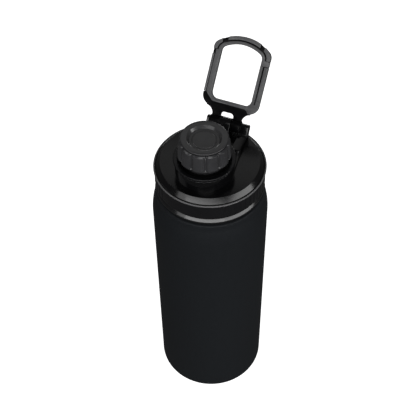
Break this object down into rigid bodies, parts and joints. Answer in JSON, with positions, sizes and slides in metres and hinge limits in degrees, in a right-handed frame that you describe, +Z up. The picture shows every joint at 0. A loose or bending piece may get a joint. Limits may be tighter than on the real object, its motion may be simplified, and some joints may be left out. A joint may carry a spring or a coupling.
{
  "type": "insulated water bottle",
  "caption": "Double-wall steel bottle with a straight body, screw lid, screw-on spout cap and a carabiner handle hinged to the lid.",
  "frame": {"origin": "centre of the base, on the surface the bottle stands on", "axes": "+Z up along the body's axis, +Y towards the handle's hinge, -Y towards the spout, +X to the gate side of the loop"},
  "size_m": [0.073, 0.0983, 0.2541],
  "materials": {
    "powder_coat": "fine matte powder coat over steel",
    "steel": "satin stainless steel",
    "base_steel": "bare stainless steel",
    "solder": "dull solder",
    "getter": "sintered pellet",
    "black_silicone": "matte silicone",
    "clear_silicone": "translucent white silicone",
    "lid_black": "semi-gloss moulded polypropylene",
    "grip_black": "fine-textured moulded plastic",
    "collar_black": "gloss moulded plastic",
    "liner_black": "moulded polypropylene",
    "foam": "closed-cell foam",
    "hinge_black": "moulded nylon",
    "pin_steel": "ground steel",
    "knob_black": "semi-gloss moulded plastic",
    "disc_black": "satin moulded plastic",
    "loop_black": "moulded nylon",
    "loop_grey": "satin moulded nylon",
    "spring_steel": "spring wire"
  },
  "bodies": {
    "bottle": {"outer_shell": "powder_coat", "inner_vessel": "steel", "base_plate": "base_steel", "base_pad": "black_silicone", "vacuum_plug": "solder", "getter": "getter"},
    "lid_seal": {"lid_gasket": "black_silicone"},
    "lid": {"lid_top": "lid_black", "grip_ring": "grip_black", "collar_ring": "collar_black", "lid_liner": "liner_black", "lid_insulation": "foam", "spout_tube": "lid_black", "hinge_block": "hinge_black", "hinge_pin": "pin_steel", "hinge_screws": "pin_steel"},
    "cap_seal_ring": {"cap_seal": "clear_silicone"},
    "cap": {"cap_shell": "knob_black", "cap_core": "liner_black", "cap_disc": "disc_black", "cap_insulation": "foam"},
    "handle": {"loop_core": "loop_black", "loop_rim": "loop_grey", "pad_top": "loop_grey", "pad_left_corner": "loop_grey", "pad_right_corner": "loop_grey", "pad_side": "loop_grey", "gate_pin": "pin_steel"},
    "gate_arm": {"gate": "loop_grey", "gate_spring": "spring_steel"}
  },
  "joints": [
    {"name": "lid_lift", "type": "slide", "parent": "bottle", "child": "lid_seal", "axis": [0, 0, 1], "range_m": [0, 0.012]},
    {"name": "lid_turn", "type": "hinge", "parent": "lid_seal", "child": "lid", "pos_m": [0, 0, 0.1832], "axis": [0, 0, 1], "range_deg": [0, 1080]},
    {"name": "cap_lift", "type": "slide", "parent": "lid", "child": "cap_seal_ring", "axis": [0, 0, 1], "range_m": [0, 0.012]},
    {"name": "cap_turn", "type": "hinge", "parent": "cap_seal_ring", "child": "cap", "pos_m": [0, -0.0085, 0.22], "axis": [0, 0, 1], "range_deg": [0, 1080]},
    {"name": "handle_swing", "type": "hinge", "parent": "lid", "child": "handle", "pos_m": [0, 0.026, 0.212], "axis": [1, 0, 0], "range_deg": [-86, 64]},
    {"name": "gate_swing", "type": "hinge", "parent": "handle", "child": "gate_arm", "pos_m": [0.0155, 0.03449, 0.22211], "axis": [0, -0.766, 0.6428], "range_deg": [0, 22], "stiffness_Nm_per_rad": 0.03, "springref_deg": -20.05}
  ],
  "couplings": [
    {"joint": "lid_lift", "follows": "lid_turn", "m_per_rad": 0.00063662},
    {"joint": "cap_lift", "follows": "cap_turn", "m_per_rad": 0.00063662}
  ]
}
